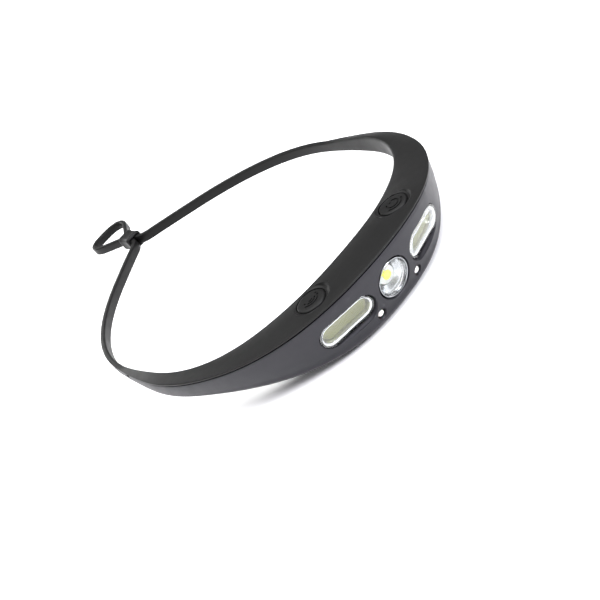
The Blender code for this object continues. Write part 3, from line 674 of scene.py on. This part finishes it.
def arc_groove(radius, start, end, placing, middle):
    """A cutter for a curved groove in a button's top, or for a dot where start equals end."""
    low, high = -MARK_DEPTH, 1.0
    if start == end:
        a = math.radians(start)
        x, y = middle[0] + radius * math.cos(a), middle[1] + radius * math.sin(a)
        dot = [(0.62 * MARK_WIDTH * math.cos(2 * math.pi * i / 16),
                0.62 * MARK_WIDTH * math.sin(2 * math.pi * i / 16)) for i in range(16)]
        return loft("groove", [[(x + p, y + q, z) for p, q in dot] for z in (low, high)], None, placing)
    inner, outer = radius - MARK_WIDTH / 2, radius + MARK_WIDTH / 2
    rings = []
    for i in range(17):
        a = math.radians(start + (end - start) * i / 16)
        rings.append([(middle[0] + r * math.cos(a), middle[1] + r * math.sin(a), z)
                      for r, z in ((inner, high), (inner, low), (outer, low), (outer, high))])
    return loft("groove", rings, None, placing)


# ---------------------------------------------------------------- silicone band


def band_section(s):
    """The band's section as (depth, z): a C round the shell in the body, a rounded strip behind it."""
    values = body_values(s)
    top, seam, seam_z, foot, foot_z = values
    open_share = 1 - ramp(abs(s), SHELL_END + 0.6, SHELL_END + 2.2)
    fade = ramp(abs(s), CAVITY_END, CAVITY_END + CAVITY_FADE)
    edge = foot - (foot - lip_depth(foot)) * open_share
    lip = lip_height(seam) * open_share + PLAIN_INSET * (1 - open_share)
    low = underside(0.0, values)
    r = max(EDGE_R, min(CORNER_R, (top - low) / 5))
    swell = ramp(abs(s), 70, 95) * (1 - ramp(abs(s), 100, 130))
    shoulder = EDGE_R + 1.3 * swell - 0.60 * (1 - ramp(abs(s), 60, 90))
    corners = [(edge, underside(edge, values), 0.2 * open_share + EDGE_R * (1 - open_share)),
               (0.3 * foot, underside(0.3 * foot, values), None),
               (0.0, low, r), (0.0, (low + top) / 2, None), (0.0, top, r)]
    corners += [(seam * t, top_height(seam * t, values), None) for t in (0.3, 0.45, 0.6, 0.75, 0.88)]
    corners += [(seam, seam_z, shoulder), (seam - 0.2 * open_share, seam_z - lip, 0.12 * open_share)]
    rebate = (shell_wall(seam) + seam_step(seam) + GAP) * open_share
    skin = min(SKIN, 0.4 * seam)
    roof = min(top, seam_z) - SKIN
    floor = foot_z + min(SKIN, 0.2 * (seam_z - foot_z)) * open_share + PLAIN_INSET * (1 - open_share)

    def back(z):
        return skin * (1 - fade) + (front_depth(z, values) - rebate) * fade

    def mixed(hollow_z, rebate_z):
        return hollow_z * (1 - fade) + rebate_z * fade

    shelf_z = seam_z - lip
    shelf = front_depth(shelf_z, values) - rebate
    high = min(shelf_z - 0.05, roof + 0.6)
    corners += [(shelf, shelf_z - 0.02, None),
                (shelf - 0.3 * open_share, mixed(high, shelf_z - 0.3), None),
                (back(roof) + 0.6 * (1 - fade), mixed(roof, shelf_z - 0.5), None),
                (back(floor + 1.0), floor + 0.3 + 0.7 * open_share, None),
                (back(floor) + 0.6 * (1 - fade), floor + 0.15 * (1 - open_share), None),
                (edge - 0.05 * open_share, floor + 0.02, None)]
    return rounded_path(corners)


def shell_section(s):
    """The front shell's section: from the seam down its face, round the bottom edge and back inside."""
    values = body_values(s)
    _, seam, seam_z, foot, foot_z = values
    high = seam_z - lip_height(seam) - SEAM_GAP
    r = min(SHELL_R, 0.22 * (seam_z - foot_z))
    thick = shell_wall(seam)
    outer = []
    for i in range(11):
        t = i / 10
        z = high + (foot_z + r - high) * t
        outer.append((front_depth(z, values) - seam_step(seam) * (1 - t) ** 2, z))
    middle = front_depth(foot_z + r, values) - r
    for angle in range(12, 91, 13):
        a = math.radians(angle)
        outer.append((middle + r * math.cos(a), foot_z + r * (1 - math.sin(a))))
    back = lip_depth(foot) + GAP
    outer.append((min(back, middle - 0.2), underside(back, values)))
    edge_round = 0.2
    path = [(outer[0][0] - thick, high), (outer[0][0] - edge_round, high),
            (outer[0][0] - 0.06, high - 0.06), (outer[0][0], high - edge_round)] + outer[1:]
    inner = []
    for before, (d, z), after in zip(outer, outer[1:], outer[2:]):
        dx, dz = after[0] - before[0], after[1] - before[1]
        size = math.hypot(dx, dz)
        inner.append((d + dz / size * thick, z - dx / size * thick))
    inner.append((outer[-1][0], outer[-1][1] + thick))
    return path + inner[::-1][::3]


def swept(name, section, distances, finish):
    return loft(name, [[ring_point(s, d, z) for d, z in section(s)] for s in distances], finish)


def button_place(side):
    """The button's frame, with local Z up and its origin at the top of the cap."""
    return Matrix.Translation((side * BUTTON_X, BUTTON_Y, CAP_TOP))


def build_band():
    """Body and straps in one moulding, with its rings closest together where the shell ends."""
    tip = RING_LENGTH - 0.5 * GAP
    half = list(np.linspace(0.7, SHELL_END + 0.4, 110))
    half += [SHELL_END + d for d in (0.8, 1.2, 1.6, 2.0, 2.4, 3.2)]
    half += list(np.linspace(SHELL_END + 4.5, tip, 84))
    distances = [-s for s in half[::-1]] + half
    band = swept("silicone_band", band_section, distances, "silicone")
    tools = []
    for side in (-1, 1):
        top = button_place(side)
        tilt = Matrix.Rotation(math.radians(RECESS_TILT), 4, "X")
        scoop = top @ Matrix.Translation((0, 0, -CAP_STAND)) @ tilt
        bowl = [(0.2, 0.0), (6.9, 0.0), (7.25, 0.06), (7.6, 0.22), (7.9, 0.5), (8.1, 0.85), (8.25, 1.1),
                (8.5, 1.3), (8.9, 1.45), (9.6, 1.6), (9.6, 4.0), (0.2, 4.0)]
        tools.append(spun("scoop", 0.0, bowl, None, scoop))
        hole = BUTTON_R + RUNNING
        room = BUTTON_R + FLANGE + 0.4
        web = -CAP_STAND - WEB
        well = [(0.2, -7.0), (room, -7.0), (room, web), (hole, web), (hole, -CAP_STAND - 0.15),
                (hole + 0.2, 0.5), (0.2, 0.5)]
        tools.append(spun("well", 0.0, well, None, top))
    port = ring_frame(PORT_S, 0.0, PORT_Z)
    pocket = [rounded(COVER[0] / 2 + GAP, COVER[1] / 2 + GAP, 1.4, z) for z in (-4.0, COVER[2] + GAP)]
    pocket += [rounded(4.9, 2.0, 1.4, COVER[2] + GAP + 0.01), rounded(4.9, 2.0, 1.4, SKIN + 1.0)]
    tools.append(loft("pocket", pocket, None, port))
    cut(band, tools)
    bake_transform(band)
    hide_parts("silicone_body", "strap_left", "strap_right")


def build_tail_loop():
    leg = RING_GAP + STRAP_T / 2
    spread_x = LOOP_HALF_WIDTH - STRAP_T / 2 - leg
    wide = leg + spread_x
    start = KEEPER_Y + 0.5 * GAP
    back = KEEPER_HIGH.y
    reach = LOOP_HIGH.y - STRAP_T / 2 - back
    half = ((leg, start), (leg, back + 0.5), (leg + 0.22 * spread_x, back + 0.18 * reach),
            (leg + 0.72 * spread_x, back + 0.46 * reach), (wide, back + 0.70 * reach),
            (0.86 * wide, back + 0.90 * reach), (0.45 * wide, back + 0.985 * reach), (0.0, back + reach))
    run, xs, ys = plan_curve(half, (0.0, 1.0), 400)
    at = np.linspace(0.0, run[-1], 70)
    right = [(np.interp(d, run, xs), np.interp(d, run, ys)) for d in at]
    path = right + [(-x, y) for x, y in right[-2::-1]]
    section = rounded(STRAP_T / 2, (STRAP_TOP - STRAP_BOTTOM) / 2, STRAP_R, steps=5)
    rings = []
    for i, (x, y) in enumerate(path):
        before = path[max(i - 1, 0)]
        after = path[min(i + 1, len(path) - 1)]
        dx, dy = after[0] - before[0], after[1] - before[1]
        size = math.hypot(dx, dy)
        rings.append([(x + dy / size * d, y - dx / size * d, STRAP_MID + z) for d, z, _ in section])
    loop = loft("tail_loop_strap", rings, "silicone")
    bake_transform(loop)
    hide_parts("tail_loop")


def build_keeper():
    """A short soft sleeve with rounded ends and a raised rib at each end."""
    bore_x, bore_z = RING_GAP + STRAP_T + RUNNING, (STRAP_TOP - STRAP_BOTTOM) / 2 + RUNNING
    half_x, half_z = (KEEPER_HIGH.x - KEEPER_LOW.x) / 2, (KEEPER_HIGH.z - KEEPER_LOW.z) / 2
    half = (KEEPER_HIGH.y - KEEPER_LOW.y) / 2
    outer = [(-0.9, -half), (-0.45, 0.12 - half), (-0.12, 0.45 - half), (0.0, 0.9 - half), (0.0, 2.2 - half),
             (-0.25, 2.9 - half), (-0.25, half - 2.9), (0.0, half - 2.2), (0.0, half - 0.9),
             (-0.12, half - 0.45), (-0.45, half - 0.12), (-0.9, half)]
    rings = [rounded(half_x + g, half_z + g, 2.0 + g, y) for g, y in outer]
    for g, y in ((0.45, half), (0.1, half - 0.3), (0.0, half - 1.0), (0.0, 1.0 - half), (0.1, 0.3 - half),
                 (0.45, -half)):
        rings.append(rounded(bore_x + g, bore_z + g, 0.7 + g, y))
    placing = Matrix.Translation((0.0, KEEPER_Y, STRAP_MID))
    rings = [[(x, y, z) for x, z, y in ring] for ring in rings]
    keeper = loft("keeper_sleeve", rings, "cap", placing, closed=True)
    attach(keeper, "slider")
    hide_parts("keeper")


# ---------------------------------------------------------------- buttons


# Each button's generic mark: radius, start and end angles, and how far its middle is moved along Y.
MARKS = {
    "left": ((3.9, -160, -20, 0.9), (2.5, -150, -30, 0.9), (1.2, -140, -40, 0.9), (3.9, -2, -2, 0.9),
             (2.5, 180, 180, 0.9)),
    "right": ((2.6, 125, 415, 0.0), (1.0, 60, 120, 0.6), (4.2, 200, 340, 0.0)),
}


def build_button(side):
    """A silicone cap with a generic mark moulded into its top."""
    hand = "right" if side > 0 else "left"
    top = button_place(side)
    flange = -CAP_STAND - WEB - GAP
    stem_end = cad_box("button_cap_" + hand)[0].z - CAP_TOP
    profile = [(0.05, -0.02), (2.5, -0.02), (4.6, -0.05), (5.3, -0.10), (5.75, -0.19), (6.05, -0.34),
               (6.22, -0.55), (BUTTON_R, -0.85), (BUTTON_R, flange), (BUTTON_R + FLANGE, flange),
               (BUTTON_R + FLANGE, flange - 0.6), (1.5, flange - 0.6), (1.5, stem_end), (0.05, stem_end)]
    cap = spun("silicone_cap_" + hand, 0.0, profile, "cap", top)
    cut(cap, [arc_groove(r, start, end, top, (0.0, y)) for r, start, end, y in MARKS[hand]])
    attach(cap, "button_" + hand)
    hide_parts("button_cap_" + hand)


# ---------------------------------------------------------------- lenses, LEDs and sensors


def face_frame(s, z, sink):
    """A frame in the front face: local X along the ring, Z out of the face."""
    depth = front_depth(z, body_values(s)) - sink
    return ring_frame(s, depth, z) @ Matrix.Rotation(math.radians(FACE_TILT), 4, "X")


def face_hole(half, radius, placing):
    """A hole through the shell whose outer edge is broken by a small radius."""
    r = radius + GAP
    profile = [(r, -6.0), (r, -0.25), (r + 0.06, 0.05), (r + 0.3, 0.6), (r + 0.8, 1.2), (r + 0.8, 4.0)]
    return spun("hole", half, profile, None, placing)


def build_shell():
    half = list(np.linspace(0.6, SHELL_END, 118))
    shell = swept("front_shell_skin", shell_section, [-s for s in half[::-1]] + half, "shell")
    tools = [face_hole(0.0, SPOT_R, face_frame(0.0, SPOT_Z, SPOT_SINK))]
    for side in (-1, 1):
        tools.append(face_hole(STRIP_HALF, STRIP_R, face_frame(side * STRIP_S, STRIP_Z, STRIP_SINK)))
        tools.append(face_hole(0.0, SENSOR_R, face_frame(side * SENSOR_S, SENSOR_Z, SENSOR_SINK)))
    cut(shell, tools)
    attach(shell, "lamp")
    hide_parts("front_shell")


def settle(piece, slot, *nodes):
    """The piece rides on the lamp and stands for the nodes."""
    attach(piece, "lamp")
    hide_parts(*nodes)


def build_spot():
    placing = face_frame(0.0, SPOT_Z, SPOT_SINK)
    r = SPOT_R
    rim = [(r, -2.4), (r, 0.05), (r - 0.05, 0.3), (r - 0.2, 0.48), (r - 0.4, 0.5), (r - 0.55, 0.38),
           (r - 0.6, 0.1), (r - 0.6, -3.0), (r + 0.6, -3.0), (r + 0.6, -2.4)]
    settle(spun("spot_rim", 0.0, rim, "chrome", placing, closed=True), "bezel_chrome", "spot_bezel")
    lens_r = r - 0.6 - 0.1
    down = np.radians(np.linspace(2, 84, 16))
    up = np.radians(np.linspace(84, 2, 12))
    outer = [(lens_r * math.sin(a), -0.3 + 1.7 * math.cos(a)) for a in down]
    inner = [((lens_r - 0.7) * math.sin(a), -1.5 + 1.6 * math.cos(a)) for a in up]
    dome = outer + [(lens_r, -0.3), (lens_r, -1.9), (lens_r - 0.7, -1.9)] + inner
    settle(spun("spot_dome", 0.0, dome, "clear", placing), "clear_lens", "spot_lens")
    cup = [(lens_r - 0.15, -2.0), (lens_r - 0.5, -2.1), (lens_r - 1.0, -2.5), (lens_r - 1.7, -3.2),
           (lens_r - 2.4, -3.8), (4.5, -4.1), (4.5, -5.7), (lens_r - 0.5, -5.7), (lens_r - 0.3, -3.0)]
    # The cup's darker metal is painted shade.
    settle(spun("spot_cup", 0.0, cup, "mirror", placing, closed=True), "reflector_chrome", "spot_reflector")
    base = [(0.05, -3.35), (3.3, -3.35), (3.55, -3.4), (3.7, -3.55), (3.75, -3.8), (3.75, -5.95),
            (0.05, -5.95)]
    settle(spun("spot_led_base", 0.0, base, "ceramic", placing), "sensor_white", "spot_star_board")
    chip = [(0.05, -2.9), (1.1, -2.91), (1.6, -2.97), (1.85, -3.1), (1.95, -3.3), (0.05, -3.3)]
    settle(spun("spot_chip", 0.0, chip, "led", placing), "led_phosphor", "spot_led")


def build_strip(side):
    hand = "right" if side > 0 else "left"
    placing = face_frame(side * STRIP_S, STRIP_Z, STRIP_SINK)
    r, half = STRIP_R, STRIP_HALF
    lens = [(0.3, 0.80), (1.6, 0.76), (r - 2.4, 0.68), (r - 1.75, 0.56), (r - 1.3, 0.40), (r - 0.95, 0.20),
            (r - 0.75, 0.10), (r - 0.4, 0.12), (r - 0.15, 0.05), (r, -0.15), (r, -3.2), (r + 0.5, -3.2),
            (r + 0.5, -3.7), (r - 0.75, -3.7), (r - 0.75, -0.8), (r - 1.3, -0.55), (r - 1.9, -0.4),
            (0.3, -0.35)]
    cover = spun("strip_cover_" + hand, half, lens, "clear", placing, angle=25)
    settle(cover, "clear_lens", "strip_lens_" + hand)
    frame_walls = [(r - 0.85, -1.05), (r - 1.0, -0.9), (r - 1.5, -0.9), (r - 1.75, -1.05), (r - 1.9, -1.5),
                   (r - 2.1, -3.3), (r - 2.15, -3.7), (r - 2.15, -4.6), (r - 0.85, -4.6)]
    # The trough's lighter metal paints a white highlight along the strip's rim.
    trough = spun("strip_trough_" + hand, half, frame_walls, "painted_highlight_mirror", placing, closed=True)
    settle(trough, "reflector_chrome", "strip_reflector_" + hand)
    board = [(0.3, -4.65), (r - 0.7, -4.65), (r - 0.7, -5.7), (0.3, -5.7)]
    plate = spun("strip_board_" + hand, half, board, "white_board", placing)
    settle(plate, "circuit_board", "cob_board_" + hand)
    bar = [(0.3, -2.6), (r - 2.9, -2.62), (r - 2.5, -2.75), (r - 2.3, -3.1), (r - 2.25, -4.6), (0.3, -4.6)]
    phosphor_bar = spun("strip_phosphor_" + hand, half, bar, "cob", placing)
    settle(phosphor_bar, "led_phosphor", "cob_phosphor_" + hand)


def build_sensor(side):
    hand = "right" if side > 0 else "left"
    placing = face_frame(side * SENSOR_S, SENSOR_Z, SENSOR_SINK)
    r = SENSOR_R
    window = [(0.02, 0.32), (0.5, 0.30), (0.9, 0.22), (1.2, 0.08), (1.4, -0.1), (r - 0.05, -0.35), (r, -0.6),
              (r, -1.9), (0.02, -1.9)]
    settle(spun("sensor_eye_" + hand, 0.0, window, "opal", placing), "sensor_white", "sensor_window_" + hand)


def build_port_cover():
    """The cover's outside has a raised rim and a finger lip at its top edge."""
    placing = ring_frame(PORT_S, 0.0, PORT_Z)
    hx, hy = COVER[0] / 2, COVER[1] / 2
    levels = [(0.35, 0.0), (0.12, 0.05), (0.0, 0.3), (0.0, 0.75), (0.12, COVER[2])]
    rings = [rounded(hx - 1.3, hy - 1.3, 0.5, 0.12), rounded(hx - 1.15, hy - 1.15, 0.6, 0.0)]
    rings += [rounded(hx - g, hy - g, 1.1, z) for g, z in levels]
    rings += [rounded(4.3, 1.3, 1.2, COVER[2]), rounded(4.3, 1.3, 1.2, 1.6), rounded(4.1, 1.1, 1.0, 1.9)]
    cover = loft("port_cover_flap", rings, "cap", placing)
    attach(cover, "cover")
    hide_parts("port_cover")


# ---------------------------------------------------------------- finishes of the CAD nodes that stay

KEPT = {
    "battery_cell": "foil", "battery_lead_negative": "black_pvc", "battery_lead_positive": "red_pvc",
    "button_board": "green_board", "main_board": "green_board", "rear_housing": "black_plastic",
    "housing_seal": "seal", "housing_screw_left": "steel", "housing_screw_right": "steel",
    "ir_emitter": "dark_epoxy", "ir_receiver": "dark_epoxy", "usb_socket": "steel",
    "switch_left": "black_plastic", "switch_right": "black_plastic",
    "switch_plunger_left": "ceramic", "switch_plunger_right": "ceramic",
}


def refinish():
    for node, finish in KEPT.items():
        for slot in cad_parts[node].material_slots:
            slot.material = FINISH[finish]


build_camera()
build_studio()
build_band()
build_tail_loop()
build_keeper()
build_shell()
build_spot()
for hand_side in (-1, 1):
    build_button(hand_side)
    build_strip(hand_side)
    build_sensor(hand_side)
build_port_cover()
refinish()
